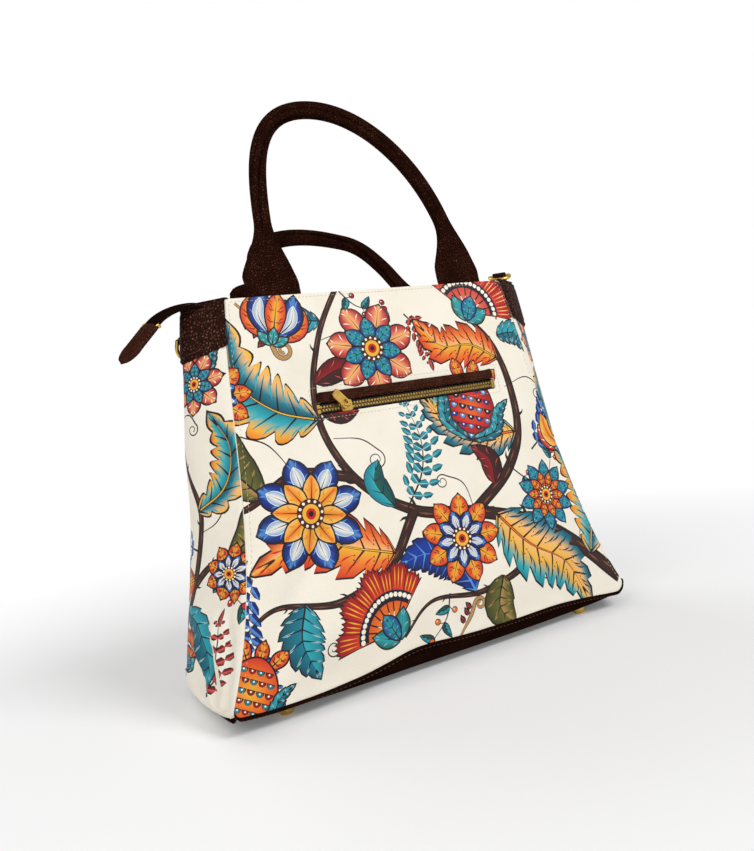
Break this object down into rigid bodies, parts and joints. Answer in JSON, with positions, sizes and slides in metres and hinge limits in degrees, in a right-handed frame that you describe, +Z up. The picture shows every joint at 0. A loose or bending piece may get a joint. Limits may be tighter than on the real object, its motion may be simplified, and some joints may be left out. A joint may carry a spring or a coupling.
{
  "type": "handbag",
  "caption": "A-line canvas handbag with a floral print, rolled leather handles that fold, a zipped front pocket, a zip closure with a tail, side rings and metal feet under a leather base.",
  "frame": {"origin": "middle of the floor under the four feet", "axes": "+X to the right of someone who faces the front, +Y to the back, +Z up; the front faces -Y"},
  "size_m": [0.3922, 0.2075, 0.452],
  "materials": {
    "canvas": "woven, matt, printed",
    "leather": "pebbled, soft sheen",
    "base_leather": "smooth, soft sheen",
    "gold": "polished",
    "tape": "woven tape",
    "cotton": "plain cotton",
    "board": "fibre board"
  },
  "bodies": {
    "bag": {"front_panel": "canvas", "back_panel": "canvas", "left_gusset": "canvas", "right_gusset": "canvas", "base_panel": "base_leather", "base_board": "board", "feet": "gold", "foot_washers": "gold", "lining": "cotton", "left_patch": "leather", "right_patch": "leather", "left_ring_strip": "leather", "right_ring_strip": "leather", "front_handle_leaves": "leather", "rear_handle_leaves": "leather", "zip_tape_front": "tape", "zip_tape_rear": "tape", "zip_teeth_front": "gold", "zip_teeth_rear": "gold", "zip_stops": "gold", "zip_tail": "tape", "zip_end_tab": "leather", "pocket_lip": "leather", "pocket_tape_upper": "tape", "pocket_tape_lower": "tape", "pocket_teeth_upper": "gold", "pocket_teeth_lower": "gold", "pocket_stops": "gold", "pocket_pouch": "cotton"},
    "front_handle": {"front_handle": "leather"},
    "rear_handle": {"rear_handle": "leather"},
    "main_slider": {"zip_slider": "gold"},
    "main_pull": {"zip_pull": "gold"},
    "pocket_slider": {"pocket_slider": "gold"},
    "pocket_pull": {"pocket_pull": "gold"},
    "left_ring": {"left_ring": "gold"},
    "right_ring": {"right_ring": "gold"}
  },
  "joints": [
    {"name": "front_handle_fold", "type": "hinge", "parent": "bag", "child": "front_handle", "pos_m": [0, -0.01322, 0.30748], "axis": [1, 0, 0], "range_deg": [0, 115]},
    {"name": "rear_handle_fold", "type": "hinge", "parent": "bag", "child": "rear_handle", "pos_m": [0, 0.01396, 0.30304], "axis": [1, 0, 0], "range_deg": [-14, 45]},
    {"name": "main_zip_slide", "type": "slide", "parent": "bag", "child": "main_slider", "axis": [1, 0, 0], "range_m": [0, 0.2073]},
    {"name": "main_pull_swing", "type": "hinge", "parent": "main_slider", "child": "main_pull", "pos_m": [-0.10665, 0, 0.29475], "axis": [0, -1, 0], "range_deg": [0, 150]},
    {"name": "pocket_zip_slide", "type": "slide", "parent": "bag", "child": "pocket_slider", "axis": [1, 0, 0], "range_m": [-0.0166, 0.1346]},
    {"name": "pocket_pull_swing", "type": "hinge", "parent": "pocket_slider", "child": "pocket_pull", "pos_m": [-0.048, -0.03302, 0.20966], "axis": [0.6561, 0.1241, 0.7444], "range_deg": [0, 155]},
    {"name": "left_ring_swing", "type": "hinge", "parent": "bag", "child": "left_ring", "pos_m": [-0.15201, 0.01364, 0.27539], "axis": [0.8462, 0.5328, 0], "range_deg": [0, 160]},
    {"name": "right_ring_swing", "type": "hinge", "parent": "bag", "child": "right_ring", "pos_m": [0.14912, 0.00906, 0.30794], "axis": [-0.8462, 0.5328, 0], "range_deg": [0, 255]}
  ]
}
